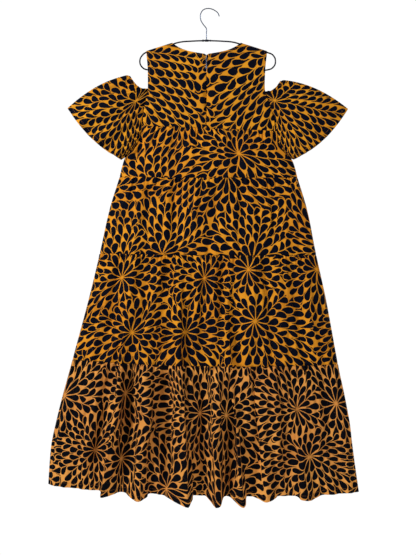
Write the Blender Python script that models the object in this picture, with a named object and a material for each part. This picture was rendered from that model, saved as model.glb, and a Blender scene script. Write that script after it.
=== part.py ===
"""A tiered cold-shoulder dress of printed cotton, hanging on a wire hanger.

The frame: +Z up, the garment's back faces -Y, and the origin is the underside of the hook's crown,
where a rail or a nail carries the hanger. Sizes in the tables are millimetres, and "drop" is the
distance below the origin.
"""

import math
from bisect import bisect_right
from collections import namedtuple

import bmesh
import bpy
from mathutils import Vector

MM = 0.001
WALL = 1.5  # cloth, with its turned edges
SEAM_GAP = 0.3  # between two pieces that are sewn together
CENTRE_X = -3  # the garment's centre line, left of the hook's crown
BACK, FRONT = -1, 1
LEFT, RIGHT = -1, 1
X, Y, Z = 0, 1, 2

# The body, level by level. left and right: reach of the cloth from the centre line, which is the
# armhole's edge down to the underarm and the side seam below it. edge: how far that edge stands
# from the middle plane. back and front: how far the two layers stand from it on the centre line.
Level = namedtuple("Level", "drop left right edge back front")
LEVELS = (
    Level(90, 180, 181, 5, 7, 7),
    Level(126, 180, 181, 6, 9, 9),
    Level(180, 176, 176, 8, 13, 15),
    Level(234, 175, 174, 11, 17, 20),
    Level(309, 187, 195, 13, 23, 27),
    Level(360, 192, 208, 12, 26, 31),
    Level(405, 205, 217, 9, 29, 34),
    Level(432, 228, 234, 5, 31, 36),
    Level(443, 242, 247, 0.15, 32, 36),
    Level(456, 248, 258, 0.15, 33, 37),
    Level(510, 262, 274, 0.15, 36, 40),
    Level(600, 290, 301, 0.15, 41, 44),
    Level(738, 321, 329, 0.15, 47, 48),
    Level(870, 353, 358, 0.15, 52, 52),
    Level(1060, 404, 393, 0.15, 58, 57),
    Level(1230, 449, 427, 0.15, 62, 60),
    Level(1320, 467, 439, 0.15, 64, 62),
    Level(1470, 477, 458, 0.15, 66, 63),
)

# The horizontal seams, each a shallow curve through three drops.
Seam = namedtuple("Seam", "left middle right")
YOKE_SEAM = Seam(352, 362, 368)
SECOND_SEAM = Seam(504, 510, 506)
THIRD_SEAM = Seam(733, 740, 738)
FOURTH_SEAM = Seam(1050, 1066, 1064)
HEM = Seam(1424, 1444, 1446)

# Long folds that open out towards the hem: crest at the hem and where it begins, the drop where
# it begins, width and height at the hem, lean of the crest (1 makes its right flank upright), and
# how much lower the hem hangs there.
Fold = namedtuple("Fold", "hem_x top_x starts width height lean dip")
FOLDS = {
    BACK: (
        Fold(-286, -178, 470, 64, 30, -0.65, 12),
        Fold(-207, -150, 760, 88, 32, 0.2, 18),
        Fold(-88, -104, 540, 100, 44, 0.7, 28),
        Fold(25, 5, 900, 64, 34, 0.1, 27),
        Fold(88, 50, 800, 60, 36, 0.65, 26),
        Fold(173, 110, 860, 88, 26, 0.0, 12),
        Fold(300, 200, 900, 90, 22, 0.0, 12),
    ),
    FRONT: (
        Fold(-322, -205, 620, 84, 24, 0.3, 4),
        Fold(-218, -140, 820, 76, 34, -0.6, 14),
        Fold(-112, -70, 700, 84, 38, 0.5, 16),
        Fold(-8, -6, 900, 70, 30, 0.0, 12),
        Fold(88, 66, 640, 84, 40, -0.7, 18),
        Fold(192, 126, 860, 76, 28, 0.4, 8),
        Fold(300, 196, 760, 72, 24, 0.0, 4),
    ),
}

# Each gathered tier: the seams that bound it, its columns of faces across, its rows as shares of
# its height, and the height of the gathers at its top edge. Two columns make one gather.
Tier = namedtuple("Tier", "name top bottom columns rows gather")
TIERS = (
    Tier("tier1", YOKE_SEAM, SECOND_SEAM, 32, (0, 0.15, 0.3, 0.45, 0.6, 0.8, 1), 1.6),
    Tier("tier2", SECOND_SEAM, THIRD_SEAM, 38, (0, 0.08, 0.22, 0.45, 0.72, 1), 1.9),
    Tier("tier3", THIRD_SEAM, FOURTH_SEAM, 48, (0, 0.06, 0.16, 0.34, 0.56, 0.78, 1), 2.2),
    Tier("tier4", FOURTH_SEAM, HEM, 66, (0, 0.06, 0.16, 0.34, 0.56, 0.8, 1), 2.8),
)
GATHER_FADES = 42  # length over which a gather opens out
FOLD_GROWTH = 1.2  # power of a long fold's height along its length
EDGE_CROWDING = 0.45  # share of the columns' spacing that crowds towards the side seams

# The yoke's upper edge.
NECK_HALF_WIDTH = 104
NECK_POINT_DROP = 102
SHOULDER_SLOPE = 0.316
SHOULDER_TIP_DROP = 126  # the cloth's reach is the same at and above it
SHOULDER_ROUNDING = 8  # drop over which the cloth turns down over the wire
BACK_NECK_DROP = 138
BACK_NOTCH = 3  # the neck edges fall away beside the zip
BACK_NOTCH_WIDTH = 6
BACK_NECK_BOW = 0.55  # 0 is a straight V
FRONT_NECK_DROP = 186
FRONT_NECK_BOW = 0.25  # 0 is a parabola
YOKE_ROWS = (0, 0.012, 0.03, 0.06, 0.13, 0.28, 0.51, 0.66, 0.82, 1)
YOKE_NECK_COLUMNS = (0, 0.034, 0.1, 0.22, 0.34, 0.45, 0.52, 0.56)
YOKE_SHOULDER_COLUMNS = (0.6, 0.68, 0.78, 0.88, 0.96, 1)

# The flutter sleeves, sewn to the lower armhole, with an elastic edge over the cut-out.
SLEEVE_STARTS_AT_ROW = 0.51  # the yoke row where the seam begins
UNDERARM_ROW = 0.6  # the first tier's row where it ends
SLEEVE_ROWS = (0, 0.07, 0.2, 0.4, 0.6, 0.8, 1)
ELASTIC_STEPS = (0.3, 0.62, 0.88, 1)
SLEEVE_COLUMNS = 2  # to each row of the body that the sleeve is sewn to
SLEEVE_GATHER = 1.6  # height of the gathers along its seam and its elastic
SLEEVE_GATHER_FADES = 0.11  # share of the sleeve's length over which they open out
SLEEVE_GATHER_RISES = 0.05  # and over which they rise from the seam itself
SLEEVE_PUFF = 9  # how far the sleeve stands out halfway along
UNDERARM_EASE = (1.4, 0.7)  # extra room where the sleeve's hem leaves the side seam
SLEEVE_WAVE = 7  # height of the soft waves at the sleeve's hem
SLEEVE_WAVES = 3  # waves from the underarm to the top, on each side
# reach and drop of the elastic edge's top, and its sag; reach and drop of the hem's tip and of its
# underarm end; the swell of the upper outline and of the hem's outline; and the hem's half depth.
Sleeve = namedtuple("Sleeve", "top_x top_drop sag tip_x tip_drop under_x under_drop swell hem_swell depth")
SLEEVES = {
    LEFT: Sleeve(230, 200, 14, 416, 298, 256, 451, 19, 15, 27),
    RIGHT: Sleeve(222, 215, 12, 424, 300, 262, 451, 20, 17, 25),
}

# The hanger.
FRAME_WIRE = 3.4  # diameter, with its plastic coat
HOOK_WIRE = 2.8
WIRE_BELOW_SEAM = 3.5  # wire's centre below the middle of the shoulder's cloth
NECK_EASE = 0.7  # and lower still at the neck point, where the neck's edge crosses it
ARM_TOP_DROP = 95
ARM_KNOTS = ((45, 96.5), (80, 99.6))  # reach and drop on the way from the ferrule to the shoulder
BAR_DROP = 183
END_REACH_LEFT, END_REACH_RIGHT = 200, 207
END_TOP_DROP, END_MIDDLE_DROP = 131, 157
FERRULE = (26, 7, 6.4)  # length, depth and height
# The hook's wire from its tip over the crown to the stem, as (x, z) from the origin.
HOOK_KNOTS = (
    (35.4, -22),
    (31.5, -13),
    (22, -4.4),
    (10, 0.6),
    (-1, 1.4),
    (-11.5, -2),
    (-19, -11),
    (-21.3, -23),
    (-19.6, -34.5),
    (-13, -46),
)
HOOK_STEM_DROP = 60
WIRE_POINTS = 3  # points to each knot of a wire's route

# The zip's slider and pull on the centre back seam.
SLIDER_DROP = 152
SLIDER_PLATE = (5, 1.4, 7.5)
BRIDGE_WIDTH = 1.4
BRIDGE_HOLE = 2.2
BRIDGE_WALL = 0.9
PULL_BAR = 1.0
PULL_EYE = (2.4, 2.8)  # inside width and height
PULL_TOP_WIDTH = 4.2
# Half width and drop below the hinge, from the eye's foot to the tip.
PULL_OUTLINE = ((2.1, 3.3), (1.1, 6.3), (1.2, 16.5), (2.2, 26.4), (1.9, 30.7), (0.9, 33))

COTTON = ((0.52, 0.26, 0.04), 0.85, 0.0)
COATED_WIRE = ((0.03, 0.04, 0.06), 0.35, 0.0)
BRIGHT_STEEL = ((0.62, 0.64, 0.68), 0.25, 1.0)
ZIP_ENAMEL = ((0.2, 0.22, 0.27), 0.35, 0.6)


def curve_through(pairs):
    """A smooth curve through (x, y) pairs that never swings past them."""
    xs, ys = zip(*pairs)
    steps = [(y1 - y0) / (x1 - x0) for x0, x1, y0, y1 in zip(xs, xs[1:], ys, ys[1:])]
    inner = [0 if a * b <= 0 else 2 * a * b / (a + b) for a, b in zip(steps, steps[1:])]
    slopes = [steps[0], *inner, steps[-1]]

    def at(x):
        i = min(max(bisect_right(xs, x) - 1, 0), len(xs) - 2)
        span = xs[i + 1] - xs[i]
        t = min(max((x - xs[i]) / span, 0), 1)
        start = (1 + 2 * t) * (1 - t) ** 2 * ys[i] + t * (1 - t) ** 2 * span * slopes[i]
        end = t * t * (3 - 2 * t) * ys[i + 1] + t * t * (t - 1) * span * slopes[i + 1]
        return start + end

    return at


def chords_through(values):
    """Straight from value to value, which stand at 0, 1, 2 and so on."""

    def at(x):
        i = min(int(x), len(values) - 2)
        return values[i] + (values[i + 1] - values[i]) * (x - i)

    return at


def column_of(field):
    return curve_through([(level.drop, getattr(level, field)) for level in LEVELS])


REACH = {LEFT: column_of("left"), RIGHT: column_of("right")}
EDGE_DEPTH = column_of("edge")
LAYER_DEPTH = {BACK: column_of("back"), FRONT: column_of("front")}


def seam_drop(seam, across):
    """Drop of a seam at across, which runs from -1 at the left side to 1 at the right."""
    ends = seam.left * (1 - across) / 2 + seam.right * (1 + across) / 2
    bow = seam.middle - (seam.left + seam.right) / 2
    return ends + bow * (1 - across * across)


def spread(share):
    """Lateral place, -1 to 1, of a column at a share of the way across; columns crowd at the sides."""
    even = 2 * share - 1
    return (1 - EDGE_CROWDING) * even + EDGE_CROWDING * math.sin(math.pi / 2 * even)


def shoulder_drop(x):
    return NECK_POINT_DROP + SHOULDER_SLOPE * (abs(x) - NECK_HALF_WIDTH)


def body_point(layer, across, drop):
    """A point in the middle of the cloth's thickness, in millimetres from the centre line."""
    left, right = REACH[LEFT](drop), REACH[RIGHT](drop)
    x = (right - left) / 2 + across * (right + left) / 2
    edge = EDGE_DEPTH(drop)
    depth = edge + (LAYER_DEPTH[layer](drop) - edge) * math.sqrt(max(0.0, 1 - across * across))
    turn = min(max((drop - shoulder_drop(x)) / SHOULDER_ROUNDING, 0), 1)
    depth = SEAM_GAP / 2 + (depth - SEAM_GAP / 2) * math.sqrt(1 - (1 - turn) ** 2)
    shift, lower = 0.0, 0.0
    hem = seam_drop(HEM, across)
    flare = max(0.0, (drop - FOURTH_SEAM.middle) / (hem - FOURTH_SEAM.middle)) ** 2
    for fold in FOLDS[layer]:
        grown = max(0.0, (drop - fold.starts) / (hem - fold.starts))
        crest = fold.top_x + (fold.hem_x - fold.top_x) * grown
        half = fold.width / 2 * (0.5 + 0.5 * grown)
        near = abs(x - crest) / half
        if near < 1:
            bump = math.cos(math.pi / 2 * near) ** 2
            depth += fold.height * grown**FOLD_GROWTH * bump
            shift += fold.lean * half * grown * bump
            lower += fold.dip * bump * flare
    return Vector((x + shift, layer * depth, -(drop + lower)))


def normal_of(surface, u, v, closed):
    """Unit normal of surface(u, v), one-sided at an open edge."""
    step = 1e-4
    before, after = (u - step, u + step) if closed else (max(u - step, 0), min(u + step, 1))
    across = surface(after, v) - surface(before, v)
    along = surface(u, min(v + step, 1)) - surface(u, max(v - step, 0))
    return across.cross(along).normalized()


def material(name, look):
    colour, roughness, metallic = look
    made = bpy.data.materials.new(name)
    made.use_nodes = True
    shader = made.node_tree.nodes["Principled BSDF"]
    shader.inputs["Base Color"].default_value = (*colour, 1)
    shader.inputs["Roughness"].default_value = roughness
    shader.inputs["Metallic"].default_value = metallic
    made.diffuse_color = (*colour, 1)
    return made


def add_object(name, data, look, origin=(0, 0, 0)):
    data.materials.append(material(name, look))
    made = bpy.data.objects.new(name, data)
    made.location = Vector(origin) * MM
    bpy.context.scene.collection.objects.link(made)
    return made


def placed(point):
    """From millimetres about the garment's centre line to metres about the origin."""
    return Vector((point.x + CENTRE_X, point.y, point.z)) * MM


def cloth_wall(name, middle, normals, closed=False):
    """A wall of cloth about a grid of points in the middle of its thickness, rows first."""
    rows, columns = len(middle), len(middle[0])
    mesh = bmesh.new()
    faces_of_wall = []
    for way in (0.5, -0.5):
        faces_of_wall.append(
            [
                [mesh.verts.new(placed(p + n * WALL * way)) for p, n in zip(*row)]
                for row in zip(middle, normals)
            ]
        )
    outer, inner = faces_of_wall
    last = columns if closed else columns - 1
    for j in range(last):
        k = (j + 1) % columns
        for i in range(rows - 1):
            mesh.faces.new((outer[i][j], outer[i][k], outer[i + 1][k], outer[i + 1][j]))
            mesh.faces.new((inner[i][j], inner[i + 1][j], inner[i + 1][k], inner[i][k]))
        mesh.faces.new((outer[0][j], inner[0][j], inner[0][k], outer[0][k]))
        mesh.faces.new((outer[-1][j], outer[-1][k], inner[-1][k], inner[-1][j]))
    if not closed:
        for i in range(rows - 1):
            mesh.faces.new((outer[i][0], outer[i + 1][0], inner[i + 1][0], inner[i][0]))
            mesh.faces.new((outer[i][-1], inner[i][-1], inner[i + 1][-1], outer[i + 1][-1]))
    bmesh.ops.recalc_face_normals(mesh, faces=mesh.faces)
    data = bpy.data.meshes.new(name)
    mesh.to_mesh(data)
    mesh.free()
    data.shade_smooth()
    data.set_sharp_from_angle(angle=math.radians(50))
    return add_object(name, data, COTTON)


def without(axis, normal):
    """The normal with its part along one axis left out, so that a seam's end face lies square."""
    kept = normal.copy()
    kept[axis] = 0
    return kept.normalized()


def add_tier(tier, layer):
    """One panel of a gathered tier, from side seam to side seam."""

    def surface(u, v):
        across = spread(u)
        top = seam_drop(tier.top, across) + SEAM_GAP
        return body_point(layer, across, top + (seam_drop(tier.bottom, across) - top) * v)

    middle, normals = [], []
    for v in tier.rows:
        points, outward = [], []
        for column in range(tier.columns + 1):
            u = column / tier.columns
            point = surface(u, v)
            normal = normal_of(surface, u, v, closed=False) * layer
            if v in (0, 1):
                normal = without(Z, normal)
            if column in (0, tier.columns):
                normal = without(Y, normal)
            fallen = -point.z - seam_drop(tier.top, spread(u))
            uneven = 0.7 + 0.3 * math.sin(2.4 * column + tier.columns)
            swing = tier.gather * uneven * math.exp(-max(fallen, 0) / GATHER_FADES)
            if 0 < column < tier.columns:
                point = point + normal * swing * (-1) ** column
            points.append(point)
            outward.append(normal)
        middle.append(points)
        normals.append(outward)
    side = "back" if layer == BACK else "front"
    return cloth_wall(f"{tier.name}_{side}", middle, normals)


def neck_drop(layer, x):
    """Drop of the neck's edge at x, between the two neck points."""
    out = min(abs(x) / NECK_HALF_WIDTH, 1)
    if layer == BACK:
        rise = BACK_NECK_DROP - NECK_POINT_DROP
        notch = BACK_NOTCH * max(0, 1 - abs(x) / BACK_NOTCH_WIDTH)
        return BACK_NECK_DROP - rise * ((1 - BACK_NECK_BOW) * out + BACK_NECK_BOW * out**4) + notch
    rise = FRONT_NECK_DROP - NECK_POINT_DROP
    return FRONT_NECK_DROP - rise * ((1 - FRONT_NECK_BOW) * out**2 + FRONT_NECK_BOW * out**4)


def yoke_surface(layer, side):
    """The yoke from the centre line, u = 0, to one armhole, u = 1, and from its upper edge down."""

    def surface(u, v):
        shoulder_x = u * REACH[side](SHOULDER_TIP_DROP) * side
        out = abs(shoulder_x)
        top = neck_drop(layer, out) if out < NECK_HALF_WIDTH else shoulder_drop(out)
        reach = {way: REACH[way](YOKE_SEAM.middle) for way in (LEFT, RIGHT)}
        middle = (reach[RIGHT] - reach[LEFT]) / 2
        half = (reach[RIGHT] + reach[LEFT]) / 2
        seam = seam_drop(YOKE_SEAM, (u * reach[side] * side - middle) / half)
        drop = top + (seam - top) * v
        x = u * REACH[side](drop) * side
        left, right = REACH[LEFT](drop), REACH[RIGHT](drop)
        across = (x - (right - left) / 2) / ((right + left) / 2)
        return body_point(layer, max(-1, min(1, across)), drop)

    return surface


def yoke_grid(layer, side, columns):
    surface = yoke_surface(layer, side)
    middle, normals = [], []
    for v in YOKE_ROWS:
        points = [surface(u, v) for u in columns]
        outward = [normal_of(surface, u, v, closed=False) * side * layer for u in columns]
        if v == 1:
            outward = [without(Z, n) for n in outward]
        if v == 0:
            shoulder = Vector((side * SHOULDER_SLOPE, 0, 1)).normalized()
            outward = [n if u in YOKE_NECK_COLUMNS else shoulder for u, n in zip(columns, outward)]
        middle.append(points)
        normals.append(outward)
    return middle, normals


def add_yokes():
    """Two back pieces that meet at the zip, and one front piece."""
    neck_point = NECK_HALF_WIDTH / REACH[LEFT](SHOULDER_TIP_DROP)
    columns = (*YOKE_NECK_COLUMNS, neck_point, *YOKE_SHOULDER_COLUMNS)
    for side, name in ((LEFT, "yoke_back_left"), (RIGHT, "yoke_back_right")):
        middle, normals = yoke_grid(BACK, side, columns)
        for row, outward in zip(middle, normals):
            row[0].x = side * SEAM_GAP / 2
            outward[0] = without(X, outward[0])
        cloth_wall(name, middle, normals)
    left_middle, left_normals = yoke_grid(FRONT, LEFT, columns)
    right_middle, right_normals = yoke_grid(FRONT, RIGHT, columns)
    middle = [left[:0:-1] + right for left, right in zip(left_middle, right_middle)]
    normals = [left[:0:-1] + right for left, right in zip(left_normals, right_normals)]
    for outward in normals:
        centre = len(outward) // 2
        outward[centre] = without(X, outward[centre])
    cloth_wall("yoke_front", middle, normals)


def armhole_drops(side):
    """Drops of the body's own rows along the part of the armhole that carries the sleeve."""
    seam = seam_drop(YOKE_SEAM, side)
    top = shoulder_drop(REACH[side](SHOULDER_TIP_DROP))
    yoke = [top + (seam - top) * v for v in YOKE_ROWS if SLEEVE_STARTS_AT_ROW <= v < 1]
    bottom = seam_drop(SECOND_SEAM, side)
    tier = [seam + (bottom - seam) * v for v in TIERS[0].rows if v <= UNDERARM_ROW]
    return sorted(yoke + tier, reverse=True)


def sleeve_edge(side):
    """The sleeve's inner edge from the underarm to the elastic's top, as (reach, drop, depth)."""
    edge = []
    for i, drop in enumerate(armhole_drops(side)):
        off = WALL / 2 + SEAM_GAP + (UNDERARM_EASE[i] if i < len(UNDERARM_EASE) else 0.1)
        slope = (REACH[side](drop + 1) - REACH[side](drop - 1)) / 2
        length = math.hypot(1, slope)
        reach = REACH[side](drop) + off / length
        edge.append((reach, drop - off * slope / length, EDGE_DEPTH(drop) - SEAM_GAP / 2))
    sleeve = SLEEVES[side]
    reach, drop, depth = edge[-1]
    for t in ELASTIC_STEPS:
        edge.append(
            (
                reach + (sleeve.top_x - reach) * t,
                drop + (sleeve.top_drop - drop) * t + sleeve.sag * math.sin(math.pi * t),
                depth * math.sqrt(1 - t * t),
            )
        )
    edge[0] = (edge[0][0], edge[0][1], 0.0)
    return edge


def sleeve_surface(side):
    """A closed tube. u runs round it from the underarm over the back and the top to the front."""
    sleeve = SLEEVES[side]
    inner = sleeve_edge(side)
    last = len(inner) - 1
    places = [(1 - math.cos(math.pi * i / last)) / 2 for i in range(last + 1)]
    reach_at, drop_at, depth_at = (chords_through([point[k] for point in inner]) for k in range(3))
    climb_at = curve_through(list(enumerate(places)))

    def surface(u, v):
        turn = (u % 1) * 2 * last
        layer, at = (BACK, turn) if turn <= last else (FRONT, 2 * last - turn)
        climb = climb_at(at)
        reach = sleeve.under_x + (sleeve.tip_x - sleeve.under_x) * climb
        drop = sleeve.under_drop + (sleeve.tip_drop - sleeve.under_drop) * climb
        run = Vector((sleeve.tip_x - sleeve.under_x, sleeve.tip_drop - sleeve.under_drop)).normalized()
        swell = sleeve.hem_swell * math.sin(math.pi * climb)
        reach, drop = reach - run.y * swell, drop + run.x * swell
        x = reach_at(at) + (reach - reach_at(at)) * v
        down = drop_at(at) + (drop - drop_at(at)) * v
        down -= sleeve.swell * climb**2 * 4 * v * (1 - v)
        round_edge = math.sqrt(max(0.0, 4 * climb * (1 - climb)))
        wave = SLEEVE_WAVE * math.cos(2 * math.pi * SLEEVE_WAVES * climb + layer) * v**1.3
        depth = depth_at(at) * (1 - v) + (sleeve.depth + wave) * round_edge * v
        depth += SLEEVE_PUFF * round_edge * 4 * v * (1 - v)
        return Vector((side * x, layer * depth, -down))

    return surface, 2 * last * SLEEVE_COLUMNS


def add_sleeve(side, name):
    surface, columns = sleeve_surface(side)
    sewn = len(armhole_drops(side)) * SLEEVE_COLUMNS
    middle, normals = [], []
    for v in SLEEVE_ROWS:
        points, outward = [], []
        for column in range(columns):
            u = column / columns
            normal = normal_of(surface, u, v, closed=True) * -side
            if v == 0 and 0 < min(column, columns - column) < sewn:
                normal = without(Z, without(X, normal))
            fade = math.exp(-v / SLEEVE_GATHER_FADES) * min(1, v / SLEEVE_GATHER_RISES)
            swing = SLEEVE_GATHER * fade * (-1) ** column
            points.append(surface(u, v) + normal * swing)
            outward.append(normal)
        middle.append(points)
        normals.append(outward)
    return cloth_wall(name, middle, normals, closed=True)


def smooth_route(knots, per_span):
    """Points on a smooth curve through (x, z) knots."""
    route = []
    for i in range(len(knots) - 1):
        a, b, c, d = (Vector(knots[min(max(i + k, 0), len(knots) - 1)]) for k in (-1, 0, 1, 2))
        for step in range(per_span):
            t = step / per_span
            route.append(
                0.5
                * (
                    2 * b
                    + (c - a) * t
                    + (2 * a - 5 * b + 4 * c - d) * t**2
                    + (3 * b - a - 3 * c + d) * t**3
                )
            )
    return [tuple(p) for p in route] + [tuple(knots[-1])]


def add_wire(name, route, diameter, look, centre_x):
    """A round wire along (x, z) points in millimetres, in the middle plane."""
    data = bpy.data.curves.new(name, "CURVE")
    data.dimensions = "3D"
    data.bevel_depth = diameter / 2 * MM
    data.bevel_resolution = 2
    data.use_fill_caps = True
    line = data.splines.new("POLY")
    line.points.add(len(route) - 1)
    for point, (x, z) in zip(line.points, route):
        point.co = ((x + centre_x) * MM, 0, z * MM, 1)
    return add_object(name, data, look)


def add_hanger():
    """The coated frame, which is one wire held in a ferrule, and the bare hook above it."""
    length, depth, height = FERRULE
    half = length / 2
    frame = []
    under_seam = WIRE_BELOW_SEAM * math.hypot(1, SHOULDER_SLOPE)
    radius = (BAR_DROP - END_TOP_DROP) / 2
    diagonal = radius * (1 - math.sqrt(0.5))
    for side, reach in ((LEFT, END_REACH_LEFT), (RIGHT, END_REACH_RIGHT)):
        shoulder = REACH[side](SHOULDER_TIP_DROP)
        halfway = (shoulder + NECK_HALF_WIDTH) / 2
        knots = [
            (side * (half + SEAM_GAP), -ARM_TOP_DROP),
            *((side * out, -drop) for out, drop in ARM_KNOTS),
            (side * NECK_HALF_WIDTH, -NECK_POINT_DROP - under_seam - NECK_EASE),
            (side * halfway, -shoulder_drop(halfway) - under_seam),
            (side * shoulder, -shoulder_drop(shoulder) - under_seam),
            (side * (reach - diagonal), -END_TOP_DROP - diagonal),
            (side * reach, -END_MIDDLE_DROP),
            (side * (reach - diagonal), -BAR_DROP + diagonal),
            (side * (reach - radius), -BAR_DROP),
            (side * (reach - 2 * radius), -BAR_DROP),
        ]
        route = smooth_route(knots, WIRE_POINTS)
        frame = route + frame if side == LEFT else frame + route[::-1]
    add_wire("hanger_frame", frame, FRAME_WIRE, COATED_WIRE, CENTRE_X)

    ferrule = bmesh.new()
    bmesh.ops.create_cube(ferrule, size=1)
    bmesh.ops.scale(ferrule, vec=Vector(FERRULE) * MM, verts=ferrule.verts)
    bmesh.ops.bevel(ferrule, geom=ferrule.edges, offset=1.6 * MM, segments=2, profile=0.5, affect="EDGES")
    data = bpy.data.meshes.new("hanger_ferrule")
    ferrule.to_mesh(data)
    ferrule.free()
    add_object("hanger_ferrule", data, COATED_WIRE, (CENTRE_X, 0, -ARM_TOP_DROP))

    stem = [(CENTRE_X, -HOOK_STEM_DROP), (CENTRE_X, -HOOK_STEM_DROP - 10)]
    foot = (CENTRE_X, -ARM_TOP_DROP + height / 2 + SEAM_GAP)
    route = smooth_route([*HOOK_KNOTS, *stem], WIRE_POINTS) + [foot]
    add_wire("hanger_hook", route, HOOK_WIRE, BRIGHT_STEEL, 0)


def box_mesh(size, centre):
    mesh = bmesh.new()
    bmesh.ops.create_cube(mesh, size=1)
    bmesh.ops.scale(mesh, vec=Vector(size) * MM, verts=mesh.verts)
    bmesh.ops.translate(mesh, vec=Vector(centre) * MM, verts=mesh.verts)
    data = bpy.data.meshes.new("block")
    mesh.to_mesh(data)
    mesh.free()
    return data


def add_zip():
    """The slider at the top of the centre back seam, and the slim pull that hangs from it."""
    skin = body_point(BACK, 0, SLIDER_DROP + SLIDER_PLATE[2] / 2).y - WALL / 2 - SEAM_GAP
    wide, thick, tall = SLIDER_PLATE
    block = BRIDGE_HOLE + 2 * BRIDGE_WALL
    seat = (CENTRE_X, skin, -SLIDER_DROP)
    slider = add_object("zip_slider", box_mesh(SLIDER_PLATE, (0, -thick / 2, 0)), ZIP_ENAMEL, seat)
    reach = BRIDGE_HOLE + BRIDGE_WALL
    bridge = add_object(
        "bridge_block",
        box_mesh((BRIDGE_WIDTH, reach + thick / 2, block), (0, -thick * 0.75 - reach / 2, 0)),
        ZIP_ENAMEL,
        seat,
    )
    axis_y = -thick - BRIDGE_HOLE / 2
    hole = add_object(
        "bridge_hole",
        box_mesh((BRIDGE_WIDTH * 3, BRIDGE_HOLE, BRIDGE_HOLE), (0, axis_y, 0)),
        ZIP_ENAMEL,
        seat,
    )
    for helper, operation in ((bridge, "UNION"), (hole, "DIFFERENCE")):
        helper.hide_render = True
        helper.display_type = "WIRE"
        cut = slider.modifiers.new(operation.lower(), "BOOLEAN")
        cut.operation = operation
        cut.solver = "EXACT"
        cut.object = helper

    bar = PULL_BAR / 2
    eye_wide, eye_tall = PULL_EYE
    outline = [(PULL_TOP_WIDTH / 2, bar), *((half, -drop) for half, drop in PULL_OUTLINE)]
    ring = outline + [(-x, z) for x, z in reversed(outline)]
    mesh = bmesh.new()
    face = mesh.faces.new([mesh.verts.new(Vector((x, -bar, z)) * MM) for x, z in ring])
    grown = bmesh.ops.extrude_face_region(mesh, geom=[face])
    moved = [v for v in grown["geom"] if isinstance(v, bmesh.types.BMVert)]
    bmesh.ops.translate(mesh, vec=Vector((0, PULL_BAR * MM, 0)), verts=moved)
    bmesh.ops.recalc_face_normals(mesh, faces=mesh.faces)
    data = bpy.data.meshes.new("zip_pull")
    mesh.to_mesh(data)
    mesh.free()
    hinge = (CENTRE_X, skin + axis_y, -SLIDER_DROP)
    pull = add_object("zip_pull", data, ZIP_ENAMEL, hinge)
    eye = add_object(
        "pull_eye",
        box_mesh((eye_wide, PULL_BAR * 3, eye_tall), (0, 0, -bar - eye_tall / 2)),
        ZIP_ENAMEL,
        hinge,
    )
    lean = math.atan2(body_point(BACK, 0, SLIDER_DROP).y - body_point(BACK, 0, SLIDER_DROP + 40).y, 40)
    pull.rotation_euler.x = eye.rotation_euler.x = -lean
    eye.hide_render = True
    eye.display_type = "WIRE"
    cut = pull.modifiers.new("eye", "BOOLEAN")
    cut.operation = "DIFFERENCE"
    cut.solver = "EXACT"
    cut.object = eye


def main():
    for old in list(bpy.data.objects):
        bpy.data.objects.remove(old)
    add_yokes()
    for tier in TIERS:
        for layer in (BACK, FRONT):
            add_tier(tier, layer)
    add_sleeve(LEFT, "sleeve_left")
    add_sleeve(RIGHT, "sleeve_right")
    add_hanger()
    add_zip()


main()
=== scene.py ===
import math

import bpy
import numpy as np
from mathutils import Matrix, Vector


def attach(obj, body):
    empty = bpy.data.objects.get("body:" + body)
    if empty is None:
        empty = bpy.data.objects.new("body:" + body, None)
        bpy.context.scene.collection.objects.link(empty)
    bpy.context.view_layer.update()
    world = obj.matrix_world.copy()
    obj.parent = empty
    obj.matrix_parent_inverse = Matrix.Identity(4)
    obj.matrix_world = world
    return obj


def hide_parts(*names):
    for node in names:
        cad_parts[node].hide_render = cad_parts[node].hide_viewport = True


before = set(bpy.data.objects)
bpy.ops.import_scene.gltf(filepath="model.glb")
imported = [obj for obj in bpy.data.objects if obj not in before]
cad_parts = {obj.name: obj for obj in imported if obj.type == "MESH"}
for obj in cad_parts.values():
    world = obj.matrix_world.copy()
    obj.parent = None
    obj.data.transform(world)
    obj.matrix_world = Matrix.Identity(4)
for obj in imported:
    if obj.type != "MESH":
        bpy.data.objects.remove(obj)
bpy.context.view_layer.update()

# The camera stands straight in front of the dress's back, level with its second tier. One metre at
# the dress is a little over 333 pixels of the frame's height.
VIEW_HEIGHT, VIEW_DISTANCE = 1.665, 2.8
bpy.ops.object.camera_add(location=(0.0015, -VIEW_DISTANCE, -0.8055), rotation=(math.pi / 2, 0, 0))
camera = bpy.context.object
camera.data.sensor_fit = "VERTICAL"
camera.data.sensor_height = 24
camera.data.lens = 24 * VIEW_DISTANCE / VIEW_HEIGHT
bpy.context.scene.camera = camera


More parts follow.
